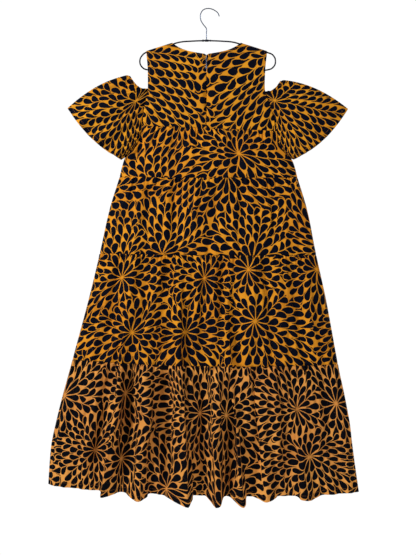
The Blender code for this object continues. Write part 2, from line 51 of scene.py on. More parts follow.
# The studio: a white room, a pale round floor some way below the hem, and soft boxes that stand
# high on the left of each face of the dress, with weaker ones to fill from the right.
class Amount:
    """A number or vector that varies over a finish; its operators make the nodes that work it out."""

    def __init__(self, tree, socket):
        self.tree, self.socket = tree, socket

    def node(self, kind, inputs=(), out=0, **settings):
        made = self.tree.nodes.new(kind)
        for setting, value in settings.items():
            setattr(made, setting, value)
        for key, value in dict(inputs).items():
            if isinstance(value, Amount):
                self.tree.links.new(value.socket, made.inputs[key])
            else:
                made.inputs[key].default_value = value
        return Amount(self.tree, made.outputs[out])

    def maths(self, operation, *values):
        return self.node("ShaderNodeMath", enumerate(values), operation=operation)

    def __add__(self, other):
        return self.maths("ADD", self, other)

    def __sub__(self, other):
        return self.maths("SUBTRACT", self, other)

    def __mul__(self, other):
        return self.maths("MULTIPLY", self, other)

    def __truediv__(self, other):
        return self.maths("DIVIDE", self, other)

    def __pow__(self, other):
        return self.maths("POWER", self, other)

    def __radd__(self, other):
        return self.maths("ADD", other, self)

    def __rsub__(self, other):
        return self.maths("SUBTRACT", other, self)

    def __rmul__(self, other):
        return self.maths("MULTIPLY", other, self)

    def __abs__(self):
        return self.maths("ABSOLUTE", self)

    def floor(self):
        return self.maths("FLOOR", self)

    def sine(self):
        return self.maths("SINE", self)

    def vector(self, operation, *values, out=0):
        return self.node("ShaderNodeVectorMath", enumerate((self, *values)), out, operation=operation)

    def axes(self):
        parts = self.node("ShaderNodeSeparateXYZ", {0: self}).socket.node.outputs
        return [Amount(self.tree, part) for part in parts]

    def rise(self, low, high):
        """From 0 at low to 1 at high, eased at both ends."""
        spans = {"Value": self, "From Min": low, "From Max": high}
        return self.node("ShaderNodeMapRange", spans, interpolation_type="SMOOTHSTEP")

    def blend(self, none, full):
        """One colour where this is 0, and the other where it is 1."""
        return self.node("ShaderNodeMix", {0: self, 6: none, 7: full}, 2, data_type="RGBA")


def socket_of(shader, name):
    return shader.inputs[name.replace("_", " ").title().replace("Ior", "IOR")]


def new_finish(name, **shader_values):
    """A material with its shader's constants set, and what its maths starts from."""
    made = bpy.data.materials.new(name)
    made.use_nodes = True
    shader = made.node_tree.nodes["Principled BSDF"]
    for socket, value in shader_values.items():
        socket_of(shader, socket).default_value = value
    where = made.node_tree.nodes.new("ShaderNodeTexCoord")
    return made, shader, Amount(made.node_tree, where.outputs["Object"])


def feed(shader, **amounts):
    for socket, amount in amounts.items():
        shader.id_data.links.new(amount.socket, socket_of(shader, socket))


def rgb(red, green, blue):
    """A colour as a screen shows it, in 255ths, to the shader's scale."""
    return (*(((c / 255 + 0.055) / 1.055) ** 2.4 if c > 10 else c / 3295 for c in (red, green, blue)), 1)


FLOOR_DROP = 1.9
bpy.ops.mesh.primitive_circle_add(vertices=96, radius=0.8, fill_type="NGON", location=(0, 0, -FLOOR_DROP))
floor = bpy.context.object
floor.name = "studio_floor"
paper, shader, where = new_finish("pale_floor_paper", roughness=0.9)
fibres = where.node("ShaderNodeTexNoise", {"Vector": where, "Scale": 60.0, "Detail": 3.0})
feed(shader, base_color=fibres.blend(rgb(240, 240, 238), rgb(248, 248, 247)))
floor.data.materials.append(paper)

SOFT_BOXES = (  # place, watts, width
    ((-2.6, -2.2, 0.8), 106, 0.9),
    ((2.4, -2.4, -0.7), 24, 1.2),
    ((2.6, 2.2, 0.8), 106, 0.9),
    ((-2.4, 2.4, -0.7), 24, 1.2),
)
LIT_POINT = Vector((0, 0, -0.75))
for place, watts, width in SOFT_BOXES:
    bpy.ops.object.light_add(type="AREA", location=place)
    lamp = bpy.context.object
    lamp.data.energy = watts
    lamp.data.size = width
    lamp.rotation_euler = (LIT_POINT - Vector(place)).to_track_quat("-Z", "Y").to_euler()

# The room's light reaches the dress at a quarter of the strength that its walls show.
ROOM_LIGHT, ROOM_SEEN = 0.25, 1.02
world = bpy.data.worlds.new("white_room")
world.use_nodes = True
bpy.context.scene.world = world
room = world.node_tree.nodes["Background"]
room.inputs["Color"].default_value = (1, 1, 1, 1)
sight = Amount(world.node_tree, world.node_tree.nodes.new("ShaderNodeLightPath").outputs["Is Camera Ray"])
strength = sight * (ROOM_SEEN - ROOM_LIGHT) + ROOM_LIGHT
world.node_tree.links.new(strength.socket, room.inputs["Strength"])
bpy.context.scene.view_settings.view_transform = "Standard"

# The printed cotton: a plain weave, waxed and dyed so that dark blue petals stay apart by thin lines
# of the orange ground. Petals stand in staggered rings about the heart of each burst, and where two
# bursts meet, the petals of one lie over those of the other.
MM = 0.001
RING = 0.052  # from one ring of petals to the next of the same set
PETAL_PITCH = 0.025  # along a ring, from petal to petal
PETAL_HALF = 0.0092
LINE = 0.0021  # the ground left between two petals
BURSTS_PER_METRE = 4.2
TURN = 2 * math.pi
RING_GROWTH = TURN * RING / PETAL_PITCH
RING_TWIST = 0.37


class Burst:
    """The petals about one heart: where each point lies from it, and how the burst is turned."""

    def __init__(self, point, heart, chance, rival):
        self.heart, self.rival, self.chance = heart, rival, chance
        x, y, _ = point.vector("SUBTRACT", heart).axes()
        self.scale = 0.9 + 0.22 * chance
        self.away = (x * x + y * y) ** 0.5 * self.scale
        self.turned = 0.5 + chance * 0.3
        self.turn = x.maths("ARCTAN2", y, x) / TURN + self.turned

    def kept(self, radius, turn):
        """1 for a petal whose middle is nearer to its own heart than to the rival's."""
        angle = (turn - self.turned) * TURN
        reach = radius / self.scale
        spot = (angle.maths("COSINE", angle), angle.sine())
        here, there = self.heart.axes(), self.rival.axes()
        x, y = (here[i] + spot[i] * reach - there[i] for i in (0, 1))
        nearer = (x * x + y * y) ** 0.5 - reach + 0.004
        return nearer.maths("GREATER_THAN", nearer, 0)

    def rings(self, stagger):
        """One set of rings: how far along its petal each point lies, the petals, and the petals
        with their outline. A petal's tail bends towards the gap between the two heads inside it."""
        place = self.away / RING + stagger
        ring = place.floor()
        along = place - ring
        count = ((ring + (0.72 - stagger)) * RING_GROWTH + 2.2).floor()
        spoke = self.turn * count + ring * RING_TWIST
        number = spoke.floor()
        middle = (number + 0.5 - ring * RING_TWIST) / count
        inner_count = ((ring + (0.22 - stagger)) * RING_GROWTH + 2.2).floor()
        inner_twist = (ring - 2 * stagger) * RING_TWIST
        gap = (middle * inner_count + inner_twist + 0.5).floor()
        bend = ((gap - inner_twist) / inner_count - middle) * (ring - stagger).rise(0.4, 0.45)
        wrapped = number.maths("FLOORED_MODULO", number, count)
        seed = number.node("ShaderNodeCombineXYZ", {0: wrapped, 1: ring + 31 * stagger, 2: self.chance * 50})
        long, wide, hook = seed.node("ShaderNodeTexWhiteNoise", {"Vector": seed}, "Color").axes()
        start = 0.02 + long * 0.1
        length = 0.96 - start - wide * 0.06
        pitch = self.away * TURN / count
        aside = (spoke - number - 0.5) * pitch - bend * (1 - along.rise(0.22, 0.85)) * self.away * TURN
        aside = aside + (hook - 0.5) * 0.005 * ((along - start) / length * math.pi).sine()
        half = PETAL_HALF * (0.84 + 0.26 * wide)
        drawn = []
        for grow in (0, LINE):
            far = ((along - start + grow / RING) / (length + 2 * grow / RING)).rise(0, 1)
            far.socket.node.interpolation_type = "LINEAR"
            width = far * (1 - far**3.5) ** 0.5 / 0.62 * (half + grow)
            to_next = (0.5 - abs(spoke - number - 0.5)) * pitch - LINE / 2 + grow
            inside = width.maths("MINIMUM", width - abs(aside), to_next)
            if stagger:
                inside = inside - 0.05 * (0.5 - ring).rise(-0.1, 0.1)
            drawn.append(inside.rise(-0.0004, 0.0004))
        keep = self.kept((ring + (0.62 - stagger)) * RING, middle)
        return along, *(keep * shape for shape in drawn)

    def petals(self):
        """The burst's petals, and its petals with their outlines."""
        along, head, head_edge = self.rings(0)
        _, tail, tail_edge = self.rings(0.5)
        first = (along - 0.5).rise(-0.001, 0.001)
        upper = first * head + (1 - first) * tail
        upper_edge = first * head_edge + (1 - first) * tail_edge
        lower = first * tail + (1 - first) * head
        lower_edge = first * tail_edge + (1 - first) * head_edge
        shown = upper.maths("MAXIMUM", upper, lower * (1 - upper_edge))
        return shown, upper_edge.maths("MAXIMUM", upper_edge, lower_edge)


DRIFT, SWEEP = 0.035, 0.05  # how far the hand-drawn print strays from even rings, in metres
MEAN_STRAY = (DRIFT + SWEEP) / 2
# Where no burst stands: the place of two hearts on the flat cloth, in metres, and how each is drawn.
STREAMS = (((MEAN_STRAY, MEAN_STRAY, 0), 0.6), ((0.62, 0.05, 0), 0.5))


def petal_print(cloth_at, bursts):
    """1 on a petal and 0 on the ground. Without bursts, the petals stream from two hearts."""
    drift = cloth_at.node("ShaderNodeTexNoise", {"Vector": cloth_at, "Scale": 9.0, "Detail": 1.0}, "Color")
    drawn_at = drift.vector("MULTIPLY_ADD", (DRIFT, DRIFT, 0), cloth_at)
    hearts, chances = [], []
    if bursts:
        field = {"Vector": drawn_at, "Scale": BURSTS_PER_METRE, "Randomness": 0.8}
        for nearest in ("F1", "F2"):
            heart = drawn_at.node(
                "ShaderNodeTexVoronoi", field, "Position", voronoi_dimensions="2D", feature=nearest
            )
            hearts.append(heart)
            chances.append(Amount(heart.tree, heart.socket.node.outputs["Color"]).axes()[0])
    else:
        broad = {"Vector": cloth_at, "Scale": 4.5, "Detail": 0.0}
        sweep = cloth_at.node("ShaderNodeTexNoise", broad, "Color")
        drawn_at = sweep.vector("MULTIPLY_ADD", (SWEEP, SWEEP, 0), drawn_at)
        for heart, chance in STREAMS:
            hearts.append(cloth_at.node("ShaderNodeCombineXYZ", enumerate(heart)))
            chances.append(cloth_at.maths("ADD", chance, 0))
    near, near_edge = Burst(drawn_at, hearts[0], chances[0], hearts[1]).petals()
    far, far_edge = Burst(drawn_at, hearts[1], chances[1], hearts[0]).petals()
    on_top = (chances[0] - chances[1]).rise(-0.0001, 0.0001)
    over = on_top * near + (1 - on_top) * far
    over_edge = on_top * near_edge + (1 - on_top) * far_edge
    under = on_top * far + (1 - on_top) * near
    return over.maths("MAXIMUM", over, under * (1 - over_edge))


def cotton(name, ground, deep_ground, petal, bursts=True):
    """The cloth's finish, from the colours of its ground and its petals."""
    made, shader, where = new_finish(name, sheen_weight=0.012, sheen_roughness=0.4, specular_ior_level=0.05)
    cloth_at = where.node("ShaderNodeUVMap", out=0, uv_map="cloth")
    petals = petal_print(cloth_at, bursts)
    dye = where.node("ShaderNodeTexNoise", {"Vector": cloth_at, "Scale": 9.0, "Detail": 4.0})
    # Fine noise flecks: where the noise is high, the ink is painted lighter as painted highlights, and the
    # cloth is a little rougher.
    wear_and_ink_highlights = where.node("ShaderNodeTexNoise", {"Vector": cloth_at, "Scale": 420.0, "Detail": 3.0})
    base = dye.rise(0.3, 0.75).blend(ground, deep_ground)
    ink_with_painted_highlights = wear_and_ink_highlights.rise(0.45, 0.85).blend(petal, (*(c * 1.6 + 0.0015 for c in petal[:3]), 1))
    across, down, _ = cloth_at.axes()
    threads = (across * (TURN / 0.00055)).sine() * (down * (TURN / 0.0006)).sine()
    slubs = where.node("ShaderNodeTexNoise", {"Vector": cloth_at, "Scale": 34.0, "Detail": 4.0})
    relief = threads * 0.00004 + slubs * 0.0011
    bump = where.node("ShaderNodeBump", {"Height": relief, "Distance": 1.0, "Strength": 0.6})
    feed(
        shader,
        base_color=petals.blend(base, ink_with_painted_highlights),
        roughness=0.78 - petals * 0.1 + wear_and_ink_highlights * 0.08,
        normal=bump,
    )
    return made


INK, HEM_INK = rgb(3, 6, 22), rgb(4, 5, 13)
burst_cotton = cotton("burst_print_cotton", rgb(238, 158, 38), rgb(218, 136, 32), INK)
streaming_cotton = cotton("streaming_print_cotton", rgb(236, 160, 37), rgb(214, 138, 30), INK, bursts=False)
hem_cotton = cotton("hem_tier_print_cotton", rgb(240, 164, 78), rgb(214, 138, 66), HEM_INK)

# The yoke: two back pieces that meet at the zip and one front piece, of the same cotton. Their neck
# and shoulder edges are turned in, and they hang smooth from the hanger's arms to the first gathers.
BACK, FRONT = -1, 1
LEFT, RIGHT = -1, 1
CENTRE_X = -3
SEAM_GAP = 0.3
# The form that the dress hangs in, in millimetres: drop, reach to the left and right of the centre
# line, and depth of the edge, of the back and of the front.
LEVELS = (
    (90, 180, 181, 5, 7, 7),
    (126, 180, 181, 6, 9, 9),
    (180, 176, 176, 8, 13, 15),
    (234, 175, 174, 11, 17, 20),
    (309, 187, 195, 13, 23, 27),
    (360, 192, 208, 12, 26, 31),
    (405, 205, 217, 9, 29, 34),
    (432, 228, 234, 5, 31, 36),
    (443, 242, 247, 0.15, 32, 36),
    (456, 248, 258, 0.15, 33, 37),
    (510, 262, 274, 0.15, 36, 40),
    (600, 290, 301, 0.15, 41, 44),
    (738, 321, 329, 0.15, 47, 48),
    (870, 353, 358, 0.15, 52, 52),
    (1060, 404, 393, 0.15, 58, 57),
    (1230, 449, 427, 0.15, 62, 60),
    (1320, 467, 439, 0.15, 64, 62),
    (1470, 477, 458, 0.15, 66, 63),
)
YOKE_SEAM, SECOND_SEAM, THIRD_SEAM = (352, 362, 368), (504, 510, 506), (733, 740, 738)
FOURTH_SEAM, HEM = (1050, 1066, 1064), (1424, 1444, 1446)
# Long folds: crest at the hem and where it begins, the drop where it begins, width and height at
# the hem, lean, and how much lower the hem hangs there.
FOLDS = {
    BACK: (
        (-286, -178, 470, 64, 30, -0.65, 12),
        (-207, -150, 760, 88, 32, 0.2, 18),
        (-88, -104, 540, 100, 44, 0.7, 28),
        (25, 5, 900, 64, 34, 0.1, 27),
        (88, 50, 800, 60, 36, 0.65, 26),
        (173, 110, 860, 88, 26, 0.0, 12),
        (300, 200, 900, 90, 22, 0.0, 12),
    ),
    FRONT: (
        (-322, -205, 620, 84, 24, 0.3, 4),
        (-218, -140, 820, 76, 34, -0.6, 14),
        (-112, -70, 700, 84, 38, 0.5, 16),
        (-8, -6, 900, 70, 30, 0.0, 12),
        (88, 66, 640, 84, 40, -0.7, 18),
        (192, 126, 860, 76, 28, 0.4, 8),
        (300, 196, 760, 72, 24, 0.0, 4),
    ),
}
NECK_HALF_WIDTH, NECK_POINT_DROP, SHOULDER_SLOPE = 104, 102, 0.316
BACK_NECK_DROP, FRONT_NECK_DROP = 138, 186
SHOULDER_REACH = {LEFT: 180, RIGHT: 181}


def curve_through(xs, ys):
    """A smooth curve through points that never swings past them."""
    xs, ys = np.array(xs, float), np.array(ys, float)
    steps = np.diff(ys) / np.diff(xs)
    product, total = steps[:-1] * steps[1:], steps[:-1] + steps[1:]
    inner = np.where(product > 0, 2 * product / np.where(total == 0, 1, total), 0)
    slopes = np.concatenate(([steps[0]], inner, [steps[-1]]))

    def at(x):
        i = np.clip(np.searchsorted(xs, x, side="right") - 1, 0, len(xs) - 2)
        span = xs[i + 1] - xs[i]
        t = np.clip((x - xs[i]) / span, 0, 1)
        start = (1 + 2 * t) * (1 - t) ** 2 * ys[i] + t * (1 - t) ** 2 * span * slopes[i]
        return start + t * t * (3 - 2 * t) * ys[i + 1] + t * t * (t - 1) * span * slopes[i + 1]

    return at


DROPS, *COLUMNS = zip(*LEVELS)
REACH_LEFT, REACH_RIGHT, EDGE_DEPTH, BACK_DEPTH, FRONT_DEPTH = (curve_through(DROPS, c) for c in COLUMNS)


def seam_drop(seam, across):
    left, middle, right = seam
    ends = left * (1 - across) / 2 + right * (1 + across) / 2
    return ends + (middle - (left + right) / 2) * (1 - across * across)


def dress_form(layer, across, drop):
    """Points on one face of the hanging dress, in millimetres from its centre line."""
    left, right = REACH_LEFT(drop), REACH_RIGHT(drop)
    x = (right - left) / 2 + across * (right + left) / 2
    edge = EDGE_DEPTH(drop)
    middle = (BACK_DEPTH if layer == BACK else FRONT_DEPTH)(drop)
    depth = edge + (middle - edge) * np.sqrt(np.maximum(0, 1 - across * across))
    shoulder = NECK_POINT_DROP + SHOULDER_SLOPE * (np.abs(x) - NECK_HALF_WIDTH)
    turn = np.clip((drop - shoulder) / 8, 0, 1)
    depth = SEAM_GAP / 2 + (depth - SEAM_GAP / 2) * np.sqrt(1 - (1 - turn) ** 2)
    shift, lower = np.zeros_like(x), np.zeros_like(x)
    hem = seam_drop(HEM, across)
    flare = np.maximum(0, (drop - FOURTH_SEAM[1]) / (hem - FOURTH_SEAM[1])) ** 2
    for hem_x, top_x, starts, width, height, lean, dip in FOLDS[layer]:
        grown = np.maximum(0, (drop - starts) / (hem - starts))
        half = width / 2 * (0.5 + 0.5 * grown)
        near = np.minimum(np.abs(x - top_x - (hem_x - top_x) * grown) / half, 1)
        bump = np.cos(math.pi / 2 * near) ** 2
        depth = depth + height * grown**1.2 * bump
        shift = shift + lean * half * grown * bump
        lower = lower + dip * bump * flare
    return np.stack([x + shift, layer * depth, -(drop + lower)], axis=-1)


def outward(points, layer_or_side, closed=False):
    """Unit normals of a grid of points, rows first."""
    if closed:
        wide = np.concatenate((points[:, -2:-1], points, points[:, 1:2]), axis=1)
        across = (wide[:, 2:] - wide[:, :-2]) / 2
    else:
        across = np.gradient(points, axis=1)
    normal = np.cross(across, np.gradient(points, axis=0)) * layer_or_side
    return normal / np.maximum(np.linalg.norm(normal, axis=-1, keepdims=True), 1e-9)


def wander(along, seed, length):
    """A slow, uneven wave between about -1 and 1, for what no hand makes regular."""
    waves = ((1, 0.5), (1.73, 0.31), (2.91, 0.19))
    return sum(s * np.sin(TURN * along * f / length + seed * (1.3 + f) * 2.1) for f, s in waves)


def rows_down(height, sewn_top=True, fine_foot=True):
    """Distances down a panel: close together where it is sewn or turned, and wider between."""
    rows = [0.0]
    step = 0.8
    while rows[-1] + step < height - (3 if fine_foot else 0):
        rows.append(rows[-1] + step)
        step = min(step * 1.2, 5.6)
    if fine_foot:
        rows += [height - 2.4, height - 1.4, height - 0.6]
    return np.array(rows + [height]) / height


def sewn_edges(fallen, height, top=True, foot=True, depth=1.2):
    """How far the cloth turns inwards beside the seams at its top and its foot."""
    dip = np.zeros_like(fallen)
    if top:
        dip = dip - depth * np.exp(-((fallen / 1.6) ** 2))
    if foot:
        dip = dip - depth * np.exp(-(((height - fallen) / 1.6) ** 2))
    return dip


def turned(points, normals, flat, rows, at_top, fold=1.1):
    """The grid with its top or bottom edge turned under, and its place on the flat cloth."""
    keep = slice(rows, 0, -1) if at_top else slice(-2, -2 - rows, -1)
    edge = 0 if at_top else -1
    inside = points[keep] - normals[keep] * fold
    way = points[edge] - points[1 if at_top else -2]
    way = way / np.maximum(np.linalg.norm(way, axis=-1, keepdims=True), 1e-9)
    lip = [points[edge] + way * fold * 0.4 - normals[edge] * fold * k for k in (0.25, 0.75)]
    if at_top:
        return (np.concatenate((inside, [lip[1], lip[0]], points)),
                np.concatenate((flat[keep], [flat[0], flat[0]], flat)))
    return (np.concatenate((points, lip, inside)), np.concatenate((flat, [flat[-1], flat[-1]], flat[keep])))


def in_metres(points):
    return (points + (CENTRE_X, 0, 0)) * MM


def laid_out(name, mesh):
    """A new piece of a mesh, selected alone."""
    piece = bpy.data.objects.new(name, mesh)
    bpy.context.scene.collection.objects.link(piece)
    bpy.ops.object.select_all(action="DESELECT")
    piece.select_set(True)
    bpy.context.view_layer.objects.active = piece
    return piece


CLOTH = 0.0007  # thickness of the cotton


def make_cloth(name, points, flat, finish, facing, closed=False):
    """A thin shell on a grid of points, with its place on the flat cloth as its UV map, in metres."""
    rows, columns = points.shape[:2]
    if closed:
        points = points[:, :-1]
    count = points.shape[1]
    index = np.arange(rows * count).reshape(rows, count)
    after = np.roll(index, -1, axis=1) if closed else index[:, 1:]
    before = index if closed else index[:, :-1]
    faces = np.stack([before[:-1], after[:-1], after[1:], before[1:]], axis=-1).reshape(-1, 4)
    corners = np.stack([flat[:-1, :-1], flat[:-1, 1:], flat[1:, 1:], flat[1:, :-1]], axis=2)
    mesh = bpy.data.meshes.new(name)
    mesh.from_pydata(in_metres(points).reshape(-1, 3).tolist(), [], faces.tolist())
    mesh.uv_layers.new(name="cloth").data.foreach_set("uv", corners.reshape(-1))
    mesh.materials.append(finish)
    faced = np.zeros(len(mesh.polygons) * 3)
    mesh.polygons.foreach_get("normal", faced)
    centres = np.zeros(len(mesh.polygons) * 3)
    mesh.polygons.foreach_get("center", centres)
    if float((faced.reshape(-1, 3) * facing(centres.reshape(-1, 3))).sum()) < 0:
        mesh.flip_normals()
    piece = laid_out(name, mesh)
    wall = piece.modifiers.new("cloth", "SOLIDIFY")
    wall.thickness = CLOTH
    wall.offset = 0
    bpy.ops.object.modifier_apply(modifier=wall.name)
    bpy.ops.object.shade_smooth()
    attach(piece, "dress")
    return piece


def facing_out(layer):
    return lambda centres: np.array([0, layer, 0])


def neck_drop(layer, x):
    """The neckline: a shallow curve with a small notch at the zip behind, and a deeper scoop in front."""
    out = np.minimum(np.abs(x) / NECK_HALF_WIDTH, 1)
    if layer == BACK:
        notch = 3 * np.maximum(0, 1 - np.abs(x) / 6)
        return BACK_NECK_DROP - (BACK_NECK_DROP - NECK_POINT_DROP) * (0.45 * out + 0.55 * out**4) + notch
    return FRONT_NECK_DROP - (FRONT_NECK_DROP - NECK_POINT_DROP) * (0.75 * out**2 + 0.25 * out**4)


YOKE_COLUMNS, YOKE_HEIGHT = 64, 250


def yoke_half(layer, side):
    """The grid of one half, from the centre line to the armhole, and the fallen distance."""
    even = np.linspace(0, 1, YOKE_COLUMNS + 1)
    u = np.sin(np.linspace(0, math.pi / 2, YOKE_COLUMNS + 1))[None, :] * 0.35 + even * 0.65
    v = rows_down(YOKE_HEIGHT)[:, None]
    out = u * SHOULDER_REACH[side]
    shoulder = NECK_POINT_DROP + SHOULDER_SLOPE * (out - NECK_HALF_WIDTH)
    top = np.where(out < NECK_HALF_WIDTH, neck_drop(layer, out), shoulder)
    reach = {LEFT: REACH_LEFT, RIGHT: REACH_RIGHT}
    at_seam = {way: float(reach[way](YOKE_SEAM[1])) for way in reach}
    middle = (at_seam[RIGHT] - at_seam[LEFT]) / 2
    half = (at_seam[RIGHT] + at_seam[LEFT]) / 2
    seam = seam_drop(YOKE_SEAM, (u * at_seam[side] * side - middle) / half)
    drop = top + (seam - top) * v
    x = u * reach[side](drop) * side
    left, right = REACH_LEFT(drop), REACH_RIGHT(drop)
    across = np.clip((x - (right - left) / 2) / ((right + left) / 2), -1, 1)
    points = dress_form(layer, across, drop)
    return points, (drop - top), (seam - top) + 0 * drop


# Soft troughs and ridges, listed: top and foot as reach and drop, half width, and depth
# inwards, less than nought for a ridge.
CREASES = {
    BACK: (
        (0, 228, 1, 318, 6, 2.2), (-150, 300, -120, 350, 9, 1.2), (152, 296, 128, 345, 9, 1.2),
        (-203, 372, -216, 476, 11, 4.0), (196, 330, 226, 420, 10, 3.0),
        (-92, 380, -96, 500, 13, 1.6), (84, 378, 92, 496, 12, 1.4), (-30, 372, -26, 440, 9, 1.2),
        (-92, 520, -104, 728, 13, 3.4), (-166, 530, -182, 660, 11, 1.9), (34, 522, 30, 690, 12, 1.6),
        (96, 516, 112, 640, 10, 1.8), (196, 520, 214, 700, 14, 1.9), (-30, 560, -38, 724, 11, -1.6),
        (-262, 748, -292, 1050, 15, 3.0), (-176, 745, -190, 960, 12, 2.6),
        (-112, 742, -126, 1062, 14, 4.6),
        (-4, 780, -10, 1062, 13, 2.4), (46, 744, 44, 960, 11, 3.2), (76, 840, 84, 1060, 10, 3.4),
        (166, 748, 190, 930, 12, 1.8), (250, 746, 282, 1050, 16, 1.8), (128, 760, 134, 1040, 14, -1.8),
        (-292, 1068, -334, 1420, 18, 4.5), (-228, 1068, -238, 1424, 14, 6.0),
        (-124, 1070, -124, 1430, 13, 6.5), (-12, 1070, -12, 1436, 14, 4.5),
        (70, 1070, 66, 1436, 11, 5.5), (140, 1070, 140, 1430, 13, 4.5), (246, 1068, 252, 1420, 18, 4.0),
        (-180, 1070, -176, 1300, 10, -2.5), (36, 1070, 24, 1300, 10, -2.5),
        (340, 1070, 372, 1400, 18, 2.6), (-380, 1070, -412, 1330, 16, 2.2),
        (196, 1070, 204, 1350, 12, -2.0),
    ),
    FRONT: (
        (-60, 250, -52, 352, 16, 1.3), (66, 244, 60, 350, 14, 1.4), (-196, 330, -224, 430, 9, 2.4),
        (198, 350, 212, 470, 8, 2.6), (-104, 376, -110, 500, 12, 1.6), (18, 380, 14, 480, 11, 1.3),
        (120, 374, 126, 498, 13, 1.6), (-150, 520, -166, 720, 13, 2.6), (-40, 522, -48, 700, 12, 2.2),
        (60, 520, 72, 728, 14, 3.0), (176, 520, 196, 680, 12, 2.2), (-236, 748, -262, 1040, 15, 2.8),
        (-120, 744, -142, 1060, 13, 3.6), (-20, 746, -34, 930, 12, 2.4), (64, 744, 60, 1050, 13, 3.8),
        (156, 748, 176, 1000, 12, 2.6), (246, 746, 276, 1050, 15, 2.2), (-300, 1070, -350, 1420, 18, 4.0),
        (-212, 1068, -262, 1420, 15, 5.0), (-110, 1070, -162, 1430, 13, 5.5), (-56, 1070, -60, 1430, 12, 4.5),
        (44, 1070, 40, 1434, 14, 5.0), (130, 1070, 142, 1430, 13, 5.0), (222, 1068, 246, 1424, 15, 4.5),
        (330, 1070, 358, 1410, 18, 2.8), (84, 1070, 90, 1320, 11, -2.4), (-170, 1070, -200, 1300, 11, -2.4),
    ),
}


def creases(layer, points, lines=None):
    """Depth of the listed creases at each point, inwards being less than nought."""
    x, drop = points[..., 0], -points[..., 2]
    depth = np.zeros_like(x)
    for top_x, top, foot_x, foot, half, deep in lines or CREASES[layer]:
        share = (drop - top) / (foot - top)
        line = top_x + (foot_x - top_x) * share + 3 * wander(drop, top_x, 160)
        ends = np.clip(share * 6 + 0.2, 0, 1) * np.clip((1 - share) * 4 + 0.12, 0, 1)
        ends = ends * ((share > -0.04) & (share < 1.04))
        off = (x - line) / half / 1.12
        steep = np.where(off < 0, off * 1.1, off * 0.7)
        depth = depth - (3.3 + 1.1 * (top > 500)) * deep * ends * np.exp(-(steep**2))
    return depth


orange_thread, shader, where = new_finish("orange_sewing_thread", roughness=0.6, specular_ior_level=0.25)
strands = where.node("ShaderNodeTexNoise", {"Vector": where, "Scale": 900.0, "Detail": 2.0})
feed(
    shader,
    base_color=strands.rise(0.35, 0.7).blend(rgb(150, 88, 26), rgb(206, 134, 48)),
    roughness=0.5 + strands * 0.25,
    normal=where.node("ShaderNodeBump", {"Height": strands * 0.0001, "Distance": 1.0, "Strength": 0.5}),
)
STITCH, STITCH_GAP, THREAD = 2.6, 1.0, 0.55
ROUND_THREAD = np.array([(math.cos(TURN * k / 6), math.sin(TURN * k / 6)) for k in range(6)])


def line_across(grid, fallen, at):
    """The line on a grid that lies a given distance down it, one point to each column."""
    at = np.zeros(grid.shape[1]) + at
    columns = range(len(at))
    return np.array([[np.interp(at[c], fallen[:, c], grid[:, c, k]) for k in range(3)] for c in columns])


def run_along(points):
    """The distance along a line of points, from its first."""
    return np.concatenate(([0], np.cumsum(np.linalg.norm(np.diff(points, axis=0), axis=-1))))


def sewn_rows(name, lines):
    """Stitches along lines of points and normals on the cloth, each a slim bead with pointed ends."""
    corners, faces = [], []
    for points, normals in lines:
        run = run_along(points)

        def at_run(values, distance):
            return np.array([np.interp(distance, run, values[:, k]) for k in range(3)])

        for start in np.arange(1, run[-1] - STITCH - 1, STITCH + STITCH_GAP):
            ends = [at_run(points, start + s) for s in (0, STITCH)]
            out = at_run(normals, start + STITCH / 2)
            way = (ends[1] - ends[0]) / np.linalg.norm(ends[1] - ends[0])
            out = out - way * (out @ way)
            out = out / np.linalg.norm(out)
            across = np.cross(way, out)
            first = len(corners)
            lift = out * (CLOTH / MM / 2 + 0.1)
            corners += [ends[0] + lift * 0.5, ends[1] + lift * 0.5]
            for share in (0.2, 0.8):
                middle = ends[0] + (ends[1] - ends[0]) * share + lift
                corners += [middle + (across * a + out * b) * THREAD / 2 for a, b in ROUND_THREAD]
            for k in range(6):
                a, b = first + 2 + k, first + 2 + (k + 1) % 6
                faces += [(first, b, a), (a, b, b + 6, a + 6), (first + 1, a + 6, b + 6)]
    mesh = bpy.data.meshes.new(name)
    mesh.from_pydata(in_metres(np.array(corners)).tolist(), [], faces)
    mesh.materials.append(orange_thread)
    thread = laid_out(name, mesh)
    bpy.ops.object.mode_set(mode="EDIT")
    bpy.ops.mesh.select_all(action="SELECT")
    bpy.ops.mesh.normals_make_consistent(inside=False)
    bpy.ops.object.mode_set(mode="OBJECT")
    bpy.ops.object.shade_smooth()
    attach(thread, "dress")
    return thread


